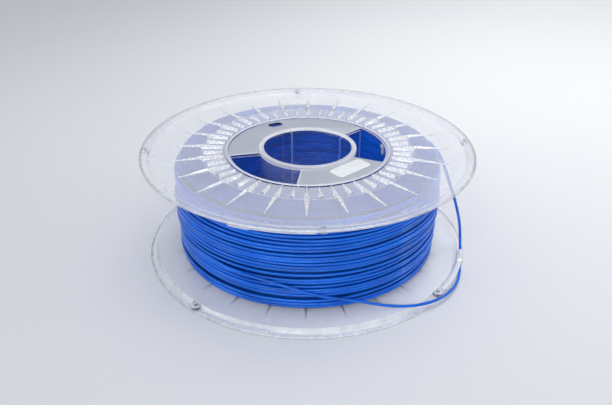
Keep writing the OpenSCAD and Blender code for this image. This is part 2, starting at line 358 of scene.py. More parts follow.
# The hub: web, drum and walls, the walls' ends, and the bore tube's far and near half; the near
# half is milkier and lighter, in painted light.
hub_clear = clear_plastic(
    "hub_clear", 0.005, (0.86, 0.9, 0.98), 0.25, 0.06, edge=(0.6, 0.65, 0.75), gleam=0.025,
)
wall_end_clear = clear_plastic(
    "wall_end_clear", 0.36, (0.42, 0.62, 0.98), 0.3, 0.04,
    edge=(0.5, 0.6, 0.8), falloff=6, gleam=0.03, polish=0.2,
)
tube_clear = clear_plastic(
    "tube_clear", 0.012, (0.9, 0.93, 1), 0.2, 0.06, edge=(0.6, 0.65, 0.75), gleam=0.06,
)
lit_tube_wall_clear = clear_plastic(
    "lit_tube_wall_clear", 0.13, (0.72, 0.8, 0.92), 0.2, 0.06,
    edge=(0.5, 0.55, 0.65), falloff=6, gleam=0.06, polish=0.08, mottle=0.3, grain=60,
)
# The filament: turns on top; those beneath, the end faces and the core, darker copies in painted
# shade; the first layer, a touch lighter in painted light.
strand_blue = filament_plastic("strand_blue", 1.0, 1.0)
shaded_under_blue = filament_plastic("shaded_under_blue", 0.32, 0.2)
# The first layer, seen through the hub, is a lighter copy of the blue: painted light.
lit_inner_blue = filament_plastic("lit_inner_blue", 1.05, 0.1)
shaded_face_blue = filament_plastic("shaded_face_blue", 0.7, 0.4)
shaded_core_blue = filament_plastic("shaded_core_blue", 0.25, 0.1)
# The silver-grey labels and the white sticker, both blank.
label_card = grained_card(
    "label_card", (0.46, 0.50, 0.57), (0.53, 0.56, 0.63), blotches=60,
    rough=(0.38, 0.5), fine=700, grain=(1600, 2, 0.5), relief=0.1, Metallic=0.15,
)
sticker_white = grained_card(
    "sticker_paper", (0.86, 0.89, 0.9), (0.91, 0.93, 0.94), blotches=90,
    rough=(0.5, 0.65), fine=900, grain=(2200, 3, 0.6), relief=0.15, Specular_IOR_Level=0.3,
)


# ---------- mesh tools ----------
sharp_angle = math.radians(38)


def smoothed(mesh, angle=sharp_angle):
    """Shades a mesh smooth, but for its edges past an angle."""
    mesh.polygons.foreach_set("use_smooth", [True] * len(mesh.polygons))
    mesh.set_sharp_from_angle(angle=angle)


def add_mesh(name, points, faces, material, sharp=sharp_angle):
    """A mesh object with smooth faces and sharp edges past an angle."""
    mesh = bpy.data.meshes.new(name)
    mesh.from_pydata(np.asarray(points, float).tolist(), [], [list(f) for f in faces])
    smoothed(mesh, sharp)
    mesh.materials.append(material)
    return added(name, mesh)


def placed(piece, node):
    """Makes a piece ride on the frame and stand for its CAD node."""
    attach(piece, "root")
    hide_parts(node)


def rounded(outline, radii, steps=4):
    """A closed outline with arcs for corners, of one radius or of one for each corner."""
    count = len(outline)
    if isinstance(radii, (int, float)):
        radii = [radii] * count
    made = []
    for i, (corner, radius) in enumerate(zip(outline, radii)):
        p = np.array(corner, float)
        before = np.array(outline[i - 1], float) - p
        after = np.array(outline[(i + 1) % count], float) - p
        # Two arcs may share a side, so each takes less than half of it.
        room = min(np.linalg.norm(before), np.linalg.norm(after)) * 0.48
        a, b = before / np.linalg.norm(before), after / np.linalg.norm(after)
        half = math.acos(max(-1.0, min(1.0, float(a @ b)))) / 2
        nearly_straight = half > math.radians(85)
        if radius <= 0 or nearly_straight:
            made.append(tuple(p))
            continue
        back = min(radius / math.tan(half), room)
        radius = back * math.tan(half)
        centre = p + (a + b) / np.linalg.norm(a + b) * radius / math.sin(half)
        start, end = p + a * back - centre, p + b * back - centre
        swing = math.pi - 2 * half
        for k in range(steps + 1):
            t = k / steps
            arc = (math.sin((1 - t) * swing) * start + math.sin(t * swing) * end) / math.sin(swing)
            made.append(tuple(centre + arc))
    return made


def upside(outline):
    """An outline in radius and height turned over, for the upper half of the spool."""
    return [(r, spool_w - z) for r, z in reversed(outline)]


def ring_faces(rings, around, closed_along):
    """Quads that join rings of points, each ring closed."""
    count = rings if closed_along else rings - 1
    i = np.arange(count)[:, None]
    k = np.arange(around)[None, :]
    j = (i + 1) % rings
    n = (k + 1) % around
    quads = np.stack([i * around + k, j * around + k, j * around + n, i * around + n], -1)
    return quads.reshape(-1, 4)


def counterclockwise(outline):
    """The outline turned so that it runs with its inside on the left."""
    x, y = np.array(outline, float).T
    area = np.sum(x * np.roll(y, -1) - np.roll(x, -1) * y)
    return list(outline) if area > 0 else list(reversed(outline))


def swept_ring(outline, start=0.0, span=TURN, steps=288):
    """Points and faces of an outline in radius and height, swept about the spool axis."""
    whole = abs(span - TURN) < 1e-9
    r, z = np.array(counterclockwise(outline), float).T
    angles = start + span * np.arange(steps if whole else steps + 1)[:, None] / steps
    x, y = r * np.cos(angles), r * np.sin(angles)
    points = np.stack([x, y, np.broadcast_to(z, x.shape)], -1).reshape(-1, 3)
    faces = ring_faces(len(angles), len(outline), whole).tolist()
    if not whole:
        last = (len(angles) - 1) * len(outline)
        faces.append(list(range(len(outline))))
        faces.append([last + k for k in reversed(range(len(outline)))])
    return points, faces


def merged(parts):
    """Points and faces of several shells as one."""
    points, faces, base = [], [], 0
    for some_points, some_faces in parts:
        points.append(np.asarray(some_points, float))
        faces += [[base + i for i in face] for face in some_faces]
        base += len(some_points)
    return np.concatenate(points), faces


def turned(points, angle):
    """The points turned about the spool axis."""
    c, s = math.cos(angle), math.sin(angle)
    return np.asarray(points, float) @ np.array([[c, s, 0], [-s, c, 0], [0, 0, 1]])


def flipped(points, faces):
    """A lower shape turned over, end for end, into the upper one."""
    points = np.array(points, float)
    points[:, 2] = spool_w - points[:, 2]
    return points, [list(reversed(face)) for face in faces]


def on_side(upper, *shapes):
    """Shapes of the lower side of the spool, turned over if they are for the upper."""
    return [flipped(*shape) if upper else shape for shape in shapes]


across = np.array([[0.0, 1.0, 0.0]])


def tube(path, radius, out, sides=10):
    """Points and faces of a round tube with caps. out points to the side along the path."""
    path = np.asarray(path, float)
    along = np.gradient(path, axis=0)
    along /= np.linalg.norm(along, axis=1)[:, None]
    side = out - (out * along).sum(1)[:, None] * along
    side /= np.linalg.norm(side, axis=1)[:, None]
    up = np.cross(along, side)
    a = TURN * (np.arange(sides) + 0.5) / sides
    radius = np.broadcast_to(radius, len(path))[:, None, None]
    rings = side[:, None] * np.cos(a)[None, :, None] + up[:, None] * np.sin(a)[None, :, None]
    points = (path[:, None] + radius * rings).reshape(-1, 3)
    faces = ring_faces(len(path), sides, False)[:, ::-1].tolist()
    faces.append(list(reversed(range(sides))))
    faces.append([(len(path) - 1) * sides + k for k in range(sides)])
    return points, faces


def plate(outlines, low, high, bevel):
    """Points and faces of a bevelled plate: the first outline is its edge, the rest its holes."""
    curve = bpy.data.curves.new("outline", "CURVE")
    curve.dimensions = "2D"
    curve.fill_mode = "BOTH"
    curve.extrude = (high - low) / 2 - bevel
    curve.bevel_depth = bevel
    curve.bevel_resolution = 1
    curve.offset = -bevel
    for outline in outlines:
        spline = curve.splines.new("POLY")
        spline.points.add(len(outline) - 1)
        spline.points.foreach_set("co", [c for x, y in outline for c in (x, y, 0, 1)])
        spline.use_cyclic_u = True
    drawing = bpy.data.objects.new("outline", curve)
    mesh = bpy.data.meshes.new_from_object(drawing)
    bpy.data.objects.remove(drawing)
    bpy.data.curves.remove(curve)
    points = np.array([v.co for v in mesh.vertices], float)
    points[:, 2] += (low + high) / 2
    faces = [list(p.vertices) for p in mesh.polygons]
    bpy.data.meshes.remove(mesh)
    return points, faces


def cleaned(piece):
    """Joins points that lie on each other and turns the faces outward."""
    mesh = bmesh.new()
    mesh.from_mesh(piece.data)
    bmesh.ops.remove_doubles(mesh, verts=mesh.verts, dist=0.002 * MM)
    bmesh.ops.dissolve_degenerate(mesh, edges=mesh.edges, dist=0.001 * MM)
    bmesh.ops.recalc_face_normals(mesh, faces=mesh.faces)
    mesh.to_mesh(piece.data)
    mesh.free()
    piece.data.set_sharp_from_angle(angle=sharp_angle)
    return piece


def combine(piece, other, operation):
    """Adds the other to the piece or cuts it away, which leaves one closed mesh."""
    modifier = piece.modifiers.new("combine", "BOOLEAN")
    modifier.operation = operation
    modifier.solver = "EXACT"
    modifier.object = other
    graph = bpy.context.evaluated_depsgraph_get()
    mesh = bpy.data.meshes.new_from_object(piece.evaluated_get(graph))
    piece.modifiers.clear()
    old = piece.data
    piece.data = mesh
    mesh.name = old.name
    bpy.data.objects.remove(other)
    smoothed(mesh)


def finish_faces(piece, material, chosen):
    """Gives another material to the faces that are chosen by their centre and normal."""
    piece.data.materials.append(material)
    for face in piece.data.polygons:
        if chosen(face.center, face.normal):
            face.material_index = len(piece.data.materials) - 1


def off_axis(at):
    """How far a point is from the spool axis."""
    return math.hypot(at.x, at.y)


def depth(z, upper):
    """How deep a height lies in the spool, from its lower or upper end."""
    return spool_w - z if upper else z


def disc(centre, radius, low, high, edge=0.0, steps=20):
    """Points and faces of a short round post, its rims rounded by edge."""
    middle = 0.001 * MM
    outline = [(middle, low), (radius, low), (radius, high), (middle, high)]
    if edge:
        outline = rounded(outline, [0, edge, edge, 0], 3)
    points, faces = swept_ring(outline, steps=steps)
    return points + np.array([centre[0], centre[1], 0]), faces


def polar(radius, angle):
    """The X and Y of a point at a radius and an angle about the spool axis."""
    return radius * math.cos(angle), radius * math.sin(angle)


# ---------- the loose end of the filament ----------
# The route's points in mm, the same as in part.scad.
lead_route = [
    (14, -79.9, 12.4), (22, -78.4, 10.4), (31, -77.8, 8.4), (41, -77.9, 6.6), (51, -77.4, 5.4),
    (61, -75.4, 4.6), (70, -71.4, 4), (78, -65.4, 3.4), (84.5, -57.6, 3), (89, -49, 2.6),
    (91.8, -40, 2.4), (93.6, -31, 2.4), (95.2, -22.6, 2.8), (96.4, -16, 5.6), (96.6, -12, 10.5),
    (96, -10.4, 16.5), (94.6, -9.8, 23), (92.6, -9.4, 30), (90.2, -8.6, 37), (87.6, -6.6, 44),
    (85.4, -3, 50), (83.6, 2.4, 54.6), (82, 9, 57.4), (80, 16, 58.6), (77.8, 22.8, 59),
]


def bezier_length(points):
    """The length of the curve that make_lead() draws through the points."""
    total, steps = 0, 12
    for i in range(len(points) - 1):
        a, b = points[i], points[i + 1]
        out = (b - points[max(i - 1, 0)]) / 6
        back = (points[min(i + 2, len(points) - 1)] - a) / 6
        t = np.linspace(0, 1, steps + 1)[:, None]
        arc = (1 - t) ** 3 * a + 3 * (1 - t) ** 2 * t * (a + out)
        arc = arc + 3 * (1 - t) * t**2 * (b - back) + t**3 * b
        total += np.linalg.norm(np.diff(arc, axis=0), axis=1).sum()
    return float(total)


def make_lead():
    """The loose end, a smooth curve whose handles are a sixth of the gap between neighbours."""
    points = np.array(lead_route, float) * MM
    curve = bpy.data.curves.new("filament_loose_end", "CURVE")
    curve.dimensions = "3D"
    curve.bevel_depth = filament_r
    curve.bevel_resolution = 3
    curve.resolution_u = 8
    curve.use_fill_caps = True
    spline = curve.splines.new("BEZIER")
    spline.bezier_points.add(len(points) - 1)
    for i, bezier in enumerate(spline.bezier_points):
        handle = (points[min(i + 1, len(points) - 1)] - points[max(i - 1, 0)]) / 6
        bezier.co = points[i]
        bezier.handle_left_type = "FREE"
        bezier.handle_right_type = "FREE"
        bezier.handle_left = points[i] - handle
        bezier.handle_right = points[i] + handle
    curve.materials.append(strand_blue)
    lead = added("filament_loose_end", curve)
    placed(lead, "filament_lead")
    round(bezier_length(points), 4)


make_lead()


# ---------- floor and light ----------
def make_floor():
    """A plain pale floor of paper, just under the spool."""
    m = Nodes("backdrop_paper")
    paper = m.add("ShaderNodeBsdfPrincipled", Roughness=0.75, Specular_IOR_Level=0.2)
    blotches = m.ranged(m.noise(3, 2, 0.4), 0, 1)
    m.coloured(paper, blotches, (0.81, 0.815, 0.832), (0.828, 0.832, 0.845))
    half, cells, floor_z = 12.0, 24, -0.15 * MM
    line = np.linspace(-half, half, cells + 1)
    x, y = np.meshgrid(line, line)
    points = np.stack([x.ravel(), y.ravel(), np.full(x.size, floor_z)], 1)
    i = np.arange(cells)[:, None] * (cells + 1) + np.arange(cells)[None, :]
    faces = np.stack([i, i + 1, i + cells + 2, i + cells + 1], -1).reshape(-1, 4)
    add_mesh("floor", points, faces, m.show(paper))


def area_light(name, at, aim, size, power, colour, spread):
    """A soft rectangular light of so many watts, its spread in degrees."""
    light = bpy.data.lights.new(name, "AREA")
    light.shape = "RECTANGLE"
    light.size, light.size_y = size
    light.energy = power
    light.color = colour
    light.spread = math.radians(spread)
    lamp = added(name, light)
    lamp.location = at
    lamp.rotation_mode = "QUATERNION"
    lamp.rotation_quaternion = (Vector(aim) - Vector(at)).to_track_quat("-Z", "Y")


horizon_light = 0.4
ceiling_light = 0.66
sky_colour = (0.9, 0.935, 1.0, 1)
warm = (1, 0.985, 0.965)
white = (1, 1, 1)
spool_middle = (0, 0, 0.03)


def make_light():
    """A sky that is brighter above, two lights aimed at the floor and three at the spool."""
    world = bpy.data.worlds.new("studio")
    bpy.context.scene.world = world
    world.use_nodes = True
    tree = world.node_tree
    back = tree.nodes["Background"]
    back.inputs["Color"].default_value = sky_colour
    place = tree.nodes.new("ShaderNodeTexCoord")
    axes = tree.nodes.new("ShaderNodeSeparateXYZ")
    rise = tree.nodes.new("ShaderNodeMapRange")
    rise.inputs["To Min"].default_value = horizon_light
    rise.inputs["To Max"].default_value = ceiling_light
    tree.links.new(place.outputs["Generated"], axes.inputs["Vector"])
    tree.links.new(axes.outputs["Z"], rise.inputs["Value"])
    tree.links.new(rise.outputs["Result"], back.inputs["Strength"])
    area_light("overhead", (0.3, 0.3, 1.15), (0.25, 0.24, 0), (0.5, 0.5), 0.88, warm, 62)
    area_light("back_right", (0.8, 1.1, 1.1), (0.45, 0.75, 0), (0.5, 0.5), 0.6, warm, 60)
    area_light("behind_camera", (-0.25, -1.3, 0.75), spool_middle, (1.5, 0.16), 2.7, white, 120)
    area_light("right_side", (1.2, -0.05, 0.5), spool_middle, (0.25, 0.5), 0.4, white, 120)
    area_light("left_side", (-1.1, -0.5, 0.35), spool_middle, (0.5, 0.5), 0.45, white, 120)


make_floor()
make_light()


# ---------- flanges ----------
def flange_outline():
    """The lower flange in radius and height: hub seat, ring trough, dished plate and raised lip."""
    corners = [
        (drum_r, plate_in), (drum_r, plate_in - seat_t), (gap_r, plate_in - seat_t),
        (gap_r, trough_out), (trough_r, trough_out), (trough_r, plate_out),
        (step_under_r, plate_out), (step_in_r, 0), (rim_line_r, 0), (flange_r, 0),
        (flange_r, lip_t), (rim_line_r, lip_t), (lip_in_r, lip_t), (step_in_r, plate_in),
    ]
    radii_mm = [0.15, 0.1, 0.1, 0.1, 0.2, 0.25, 0.8, 0.6, 0, 0.62, 0.62, 0, 0.4, 0.5]
    return rounded(corners, [r * MM for r in radii_mm])


def make_flange(name, node, eye_az, boss_top, upper):
    """A flange with its round marks, and four bosses with an eye through each."""
    raised, eyes = [], []
    for i in range(button_count):
        centre = polar(button_ring_r, TURN * i / button_count + button_first_az)
        low, high = plate_out - 0.5 * MM, plate_out + button_h
        raised.append(disc(centre, button_r, low, high, edge=0.2 * MM))
    centres = [polar(eye_ring_r, eye_az + quarter * i) for i in range(4)]
    for centre in centres:
        raised.append(disc(centre, boss_r, lip_t / 2, boss_top, edge=0.3 * MM, steps=36))
        eyes.append(disc(centre, eye_hole_r, -1 * MM, boss_top + 1 * MM, steps=24))
    shell = swept_ring(flange_outline())
    shell, raised, eyes = on_side(upper, shell, merged(raised), merged(eyes))
    # The lower plate takes a lighter, milkier copy of the plate's plastic: painted light.
    plastic = plate_clear if upper else lit_low_plate_clear
    piece = add_mesh(name, *shell, plastic)
    combine(piece, add_mesh("raised", *raised, plastic), "UNION")
    combine(piece, add_mesh("eyes", *eyes, plastic), "DIFFERENCE")
    seam_r = (step_in_r - 0.7 * MM, lip_in_r + 0.3 * MM)
    trough_end_r = trough_r + 0.1 * MM
    # The lower lip's seam band is whiter, mottled milk: a painted highlight.
    if not upper:
        finish_faces(piece, seam_highlight_clear, lambda at, out: seam_r[0] < off_axis(at) < seam_r[1])
    # The rim is milky, and its mottled milk paints broken highlights.
    finish_faces(piece, rim_glint_clear, lambda at, out: off_axis(at) > rim_line_r)
    finish_faces(piece, trough_clear, lambda at, out: off_axis(at) < trough_end_r)

    def on_boss(at):
        off_boss = min(math.dist((at.x, at.y), centre) for centre in centres)
        return depth(at.z, upper) > lip_t + 0.05 * MM and off_boss < boss_r + 0.1 * MM

    finish_faces(piece, ring_clear, lambda at, out: on_boss(at))
    # The bosses' sides are darkened see-through plastic: painted shade.
    finish_faces(piece, boss_shaded_side, lambda at, out: on_boss(at) and abs(out.z) < 0.6)
    placed(piece, node)


# ---------- sunburst ribs ----------
# Half of a ridge's section: the share of its half width, and of its height.
ridge_side = [(1, 0), (0.86, 0.34), (0.16, 0.9)]


def ridge(stations):
    """A ridge along +X with a soft crest, from stations (radius, width, foot z, crest z)."""
    section = [(-s, h) for s, h in ridge_side] + [(0, 1)] + ridge_side[::-1]
    points = []
    for r, width, foot, crest in stations:
        half, tall = width / 2, crest - foot
        points += [(r, half * s, foot + tall * h) for s, h in section]
    around = len(section)
    faces = ring_faces(len(stations), around, False).tolist()
    faces.append(list(reversed(range(around))))
    last = (len(stations) - 1) * around
    faces.append([last + k for k in range(around)])
    return np.array(points), faces


def rib_shapes():
    """The stations of a spike on the plate, and of a long and a short rib in the trough."""
    sink = 0.12 * MM
    crest = plate_out - spike_h
    foot = plate_out + sink
    tip = spike_tip_r - trough_r
    spike = [(trough_r, spike_w * 0.9, foot, crest + 0.15 * MM)]
    for t in (0.04, 0.5, 0.9, 1):
        width, tall = spike_w * (1 - t * 0.97), spike_h * (1 - t * 0.96)
        spike.append((trough_r + tip * t, width, foot, plate_out - tall))
    # Radius, share of the spike's width, and millimetres below its crest.
    long_rib = [
        (rib_in_r, 0.4, 0.75),
        (rib_in_r + 0.5 * MM, 0.55, 0.58),
        (trough_r - 0.6 * MM, 0.97, 0.02),
        (trough_r - 0.1 * MM, 0.88, 0.18),
    ]
    short_rib = [
        (rib_in_r, 0.32, 1.12),
        (rib_in_r + 0.5 * MM, 0.42, 0.98),
        (trough_r - 2.4 * MM, 0.84, 0.42),
        (trough_r - 1.9 * MM, 0.74, 0.6),
    ]
    in_trough = [
        [(r, spike_w * share, trough_out + sink, crest + below * MM) for r, share, below in rib]
        for rib in (long_rib, short_rib)
    ]
    return spike, *in_trough


def make_ribs(name, node, upper):
    """All the ribs of a flange. Each short rib stands midway between two long ones."""
    spike, long_rib, short_rib = rib_shapes()
    parts = []
    for i in range(spike_count):
        angle = TURN * i / spike_count
        for shape, shift in ((spike, 0), (long_rib, 0), (short_rib, 0.5)):
            points, faces = ridge(shape)
            parts.append((turned(points, angle + shift * TURN / spike_count), faces))
    [shape] = on_side(upper, merged(parts))
    # The ribs are milky white with mottled glitter: painted highlight.
    piece = cleaned(add_mesh(name, *shape, rib_highlight_clear, sharp=math.radians(20)))
    spikes_from = trough_r + 0.5 * MM

    def is_flank(at, out):
        return abs(out.z) < (0.7 if off_axis(at) > spikes_from else 0.25)

    # The upper ribs' flanks and the lower ribs' feet are darkened: painted shade.
    if upper:
        finish_faces(piece, rib_shaded_flank, is_flank)
    else:
        finish_faces(piece, under_rib_shaded_foot, lambda at, out: out.z > 0.9)
    placed(piece, node)


# ---------- rim clips ----------
def lip_arc(start, span, low, high, inset, edge, steps):
    """An arc that lies along the lip, between two heights."""
    inner, outer = finger_in_r + inset, finger_out_r - inset
    corners = [(inner, low), (outer, low), (outer, high), (inner, high)]
    return swept_ring(rounded(corners, edge), start, span, steps)


def make_clips(name, node, start, way, lift, upper):
    """Four sprung fingers on the lip, which point round it one way, 1 or -1, and end in pads.

    If the first is lifted, it stands on a post.
    """
    sliver = math.radians(0.2)
    fingers, pads = [], []
    for i in range(4):
        root = start + quarter * i
        free = root + way * clip_span
        low = lip_t + (lift if i == 0 else 0)
        pad_1, pad_2 = free - way * clip_pad, free - way * sliver
        finger = (min(root, free), clip_span, low, low + clip_t)
        fingers.append(lip_arc(*finger, inset=0, edge=0.25 * MM, steps=48))
        height = (low + clip_t / 2, low + clip_t + 0.6 * MM)
        pad = (min(pad_1, pad_2), abs(pad_2 - pad_1), *height)
        pads.append(lip_arc(*pad, inset=0.1 * MM, edge=0.3 * MM, steps=12))
        if low > lip_t:
            post = (root + sliver, math.radians(1.4), lip_t, low + clip_t / 2)
            pads.append(lip_arc(*post, inset=0.1 * MM, edge=0.2 * MM, steps=4))
    fingers, pads = on_side(upper, merged(fingers), merged(pads))
    piece = add_mesh(name, *fingers, clip_clear)
    combine(piece, add_mesh("pads", *pads, clip_clear), "UNION")
    # The lifted clip's top is near-white milk: a painted highlight.
    if lift:
        finish_faces(piece, arc_highlight_clear, lambda at, out: at.z > lip_t + lift - 0.1 * MM)
    placed(piece, node)


# ---------- hub ----------
def sector_outline(r_in, r_out, az_1, az_2, corner):
    """A sector of a ring in plan, with its four corners rounded."""
    steps = 40
    outer = [polar(r_out, az_1 + (az_2 - az_1) * k / steps) for k in range(steps + 1)]
    inner = [polar(r_in, az_2 + (az_1 - az_2) * k / steps) for k in range(steps + 1)]
    outline = outer + inner
    corners = (0, steps, steps + 1, 2 * steps + 1)
    kept = [k for k in range(len(outline)) if not near_corner(outline, k, corners, corner)]
    return rounded([outline[k] for k in kept], [corner if k in corners else 0.0 for k in kept])


def near_corner(outline, k, corners, distance):
    """True if a point on an arc is too near a corner for the corner to be rounded."""
    if k in corners:
        return False
    return any(math.dist(outline[k], outline[c]) < 1.6 * distance for c in corners)


def circle_outline(radius):
    """A circle about the spool axis in plan."""
    steps = 160
    return [polar(radius, TURN * k / steps) for k in range(steps)]


def box_outline(az, r, wide, tall, corner):
    """A rounded rectangle in plan, wide along the radius and tall across it."""
    x, y = wide / 2, tall / 2
    shape = rounded([(-x, -y), (x, -y), (x, y), (-x, y)], corner, 6)
    c, s = math.cos(az), math.sin(az)
    return [(c * (r + px) - s * py, s * (r + px) + c * py) for px, py in shape]


def window_outline(i):
    """The open window of a sector of the hub."""
    side = (wall_t / 2 + 0.1 * MM) / sector_mid_r
    az = (wall_az[i] + side, sector_end[i] - side)
    return sector_outline(tube_out_r + 1.2 * MM, drum_in_r - 0.9 * MM, *az, 0.6 * MM)


def panel_outline(i):
    """The label on a closed sector of the hub, and the recess it lies in."""
    side = label_border / sector_mid_r
    az = (wall_az[i] + side, sector_end[i] - side)
    return sector_outline(bead_r + label_border, drum_in_r - label_border, *az, 1 * MM)


def key_slot_outline(grow=0.0):
    """The oblong slot in the hub, or a shape that is longer and wider than it by grow."""
    wide, tall, corner = 5 * MM + grow, 8.6 * MM + grow, 2.45 * MM + grow / 2
    return box_outline(key_slot_az, key_slot_r, wide, tall, corner)


def make_web(name, node, upper):
    """An end wall of the hub, with two windows, a slot, two notches and recesses for the labels."""
    slack = 0.02 * MM
    outlines = [circle_outline(drum_in_r - slack), circle_outline(tube_out_r + slack)]
    outlines += [window_outline(i) for i in open_sectors] + [key_slot_outline()]
    outlines += [box_outline(az, notch_r, notch_w, notch_w, 0.3 * MM) for az in notch_az]
    sheet = plate(outlines, web_out, web_in, bevel=0.28 * MM)
    low, high = web_out - 1 * MM, web_out + label_t
    recess = merged([plate([panel_outline(i)], low, high, bevel=slack) for i in closed_sectors])
    sheet, recess = on_side(upper, sheet, recess)
    piece = cleaned(add_mesh(name, *sheet, hub_clear))
    combine(piece, cleaned(add_mesh("recess", *recess, hub_clear)), "DIFFERENCE")

    def is_outermost(at, out):
        return abs(out.z) > 0.2 and depth(at.z, upper) < web_out + 0.6 * label_t

    finish_faces(piece, ring_clear, is_outermost)
    placed(piece, node)


def make_drum():
    """The hub's outer tube, with the hole for the first end of the filament."""
    wall = drum_r - drum_t
    low, high = plate_out, spool_w - plate_out
    outline = [(wall, low), (drum_r, low), (drum_r, high), (wall, high)]
    piece = add_mesh("hub_drum_tube", *swept_ring(rounded(outline, 0.35 * MM)), hub_clear)
    path = np.array([(r, 0, tail_z) for r in np.linspace(drum_r - 4 * MM, drum_r + 2 * MM, 3)])
    points, faces = tube(path, 1.1 * MM, across, sides=20)
    hole = cleaned(add_mesh("tail_hole", turned(points, tail_az), faces, hub_clear))
    combine(piece, hole, "DIFFERENCE")
    finish_faces(piece, ring_clear, lambda at, out: abs(out.z) > 0.5)
    placed(piece, "hub_drum")


def make_bore_tube():
    """The hub's inner tube, with a raised rounded rim at each end."""
    step = 0.5 * MM
    rim = [(bore_r, bore_low), (bead_r, bore_low), (bead_r, web_out)]
    lower = rim + [(tube_out_r, web_out + step)]
    radii = [0.4 * MM, 0.5 * MM, 0.15 * MM, 0.15 * MM]
    outline = rounded(lower + upside(lower), radii + radii[::-1])
    piece = add_mesh("bore_tube_wall", *swept_ring(outline), hub_clear)

    def is_rim(at, out):
        return abs(out.z) > 0.4 or off_axis(at) > tube_out_r + 0.3 * MM

    def is_outside(at):
        return abs(off_axis(at) - tube_out_r) < 0.1 * MM

    finish_faces(piece, ring_clear, is_rim)
    finish_faces(piece, tube_clear, lambda at, out: is_outside(at))
    # The outside's near half is milkier and lighter: painted light.
    finish_faces(piece, lit_tube_wall_clear, lambda at, out: is_outside(at) and at.y < 0)
    placed(piece, "bore_tube")


def upright(points):
    """A plate drawn in X and Y stood up: its Y is height and its thickness across the radius."""
    points = np.asarray(points, float)
    return np.stack([points[:, 0], -points[:, 2], points[:, 1]], 1)


def make_walls():
    """The radial walls between the hub's two tubes."""
    gap = 0.03 * MM
    inner, outer = tube_out_r + gap, drum_in_r - gap * 3
    low, high = web_in + gap, spool_w - web_in - gap
    outline = [(inner, low), (outer, low), (outer, high), (inner, high)]
    for i, az in enumerate(wall_az):
        points, faces = plate([rounded(outline, 0.5 * MM)], -wall_t / 2, wall_t / 2, 0.2 * MM)
        piece = add_mesh(f"hub_radial_wall_{i + 1}", turned(upright(points), az), faces, hub_clear)
        along = Vector((*polar(1, az), 0))
        finish_faces(cleaned(piece), ring_clear, lambda at, out: abs(out.z) > 0.5)
        finish_faces(piece, wall_end_clear, lambda at, out: abs(out.dot(along)) > 0.5)
        placed(piece, f"hub_wall_{i + 1}")


def make_hooks():
    """Barbed hooks inside the drum, one near the middle of each sector at each end."""
    back = drum_in_r - 0.05 * MM
    outline = [
        (back, -6 * MM), (back, -0.05 * MM), (back - 1.1 * MM, -0.05 * MM),
        (back - 1.75 * MM, -1.2 * MM), (back - 0.9 * MM, -2.6 * MM), (back - 0.9 * MM, -6 * MM),
    ]
    upper_parts = []
    for az_1, az_2 in zip(wall_az, sector_end):
        points, faces = plate([rounded(outline, 0.25 * MM)], -1.5 * MM, 1.5 * MM, bevel=0.15 * MM)
        points = upright(points) + np.array([0, 0, spool_w - web_in])
        upper_parts.append((turned(points, (az_1 + az_2) / 2 + math.radians(2)), faces))
    lower_parts = [flipped(*part) for part in upper_parts]
    piece = cleaned(add_mesh("hub_snap_hooks", *merged(upper_parts + lower_parts), trough_clear))
    placed(piece, "snap_hooks")


# ---------- labels ----------
def make_label(name, node, i):
    """The blank label on a sector of the hub, cut out round the slot where that lies in it."""
    outlines = [panel_outline(i)]
    if wall_az[i] < key_slot_az < sector_end[i]:
        outlines.append(key_slot_outline(1.2 * MM))
    top = spool_w - web_out
    card = plate(outlines, top - label_t + 0.01 * MM, top, bevel=0.06 * MM)
    piece = add_mesh(name, *card, label_card)
    placed(cleaned(piece), node)


def make_sticker():
    """The small blank sticker on the front label."""
    top = spool_w - web_out
    outline = box_outline(math.radians(-47), 36 * MM, 11 * MM, 25 * MM, 2.5 * MM)
    paper = plate([outline], top + 0.01 * MM, top + sticker_t, bevel=0.08 * MM)
    piece = add_mesh("small_blank_sticker", *paper, sticker_white)
    placed(cleaned(piece), "blank_sticker")


# ---------- filament ----------
steps_per_turn = 144
turns_outer = 25
turns_packed = 31
wound_low = plate_in + filament_r
wound_high = spool_w - plate_in - filament_r


def slow_noise(random, count, width, size):
    """Smooth random values, each one much like its neighbours within width steps."""
    pad = 2 * width
    raw = random.standard_normal(count + 2 * pad)
    bell = np.exp(-0.5 * (np.arange(-pad, pad + 1) / width) ** 2)
    smooth = np.convolve(raw, bell / np.sqrt((bell**2).sum()), "same")
    return smooth[pad : pad + count] * size


def helix(radius, heights, start, way=1):
    """A path round the spool axis at the given heights, and its outward directions."""
    t = start + way * TURN * np.arange(len(heights)) / steps_per_turn
    out = np.stack([np.cos(t), np.sin(t), np.zeros(len(t))], 1)
    path = out * np.broadcast_to(radius, len(t))[:, None]
    path[:, 2] = heights
    return path, out


def laid_heights(random, turns, low, high, wander):
    """Heights of turns side by side that wander and bunch up, but don't run into each other."""
    count = turns * steps_per_turn + 1
    heights = np.linspace(low, high, count)
    heights += slow_noise(random, count, 9, wander * 0.4)
    heights += slow_noise(random, count, 26, wander * 0.7)
    heights += slow_noise(random, count, 80, wander)
    least = 2 * filament_r + 0.01 * MM
    n, rounds = steps_per_turn, 160
    for _ in range(rounds):
        short = np.clip(least - (heights[n:] - heights[:-n]), 0, None) / 2
        heights[n:] += short
        heights[:-n] -= short
        heights = np.clip(heights, low, high)
    ease = np.ones(7) / 7
    return np.convolve(np.pad(heights, 3, "edge"), ease, "valid")


def crown(heights):
    """How far the winding's outside swells in the middle and draws in near the flanges."""
    near = np.minimum(heights - wound_low, wound_high - heights)
    fullest, spread, drawn = 38 * MM, 13 * MM, 9 * MM
    swell = 1.0 * MM * np.exp(-(((heights - fullest) / spread) ** 2))
    most = np.where(heights < spool_w / 2, 0.5, 0.8) * MM
    return swell - most * np.clip(1 - near / drawn, 0, 1) ** 2


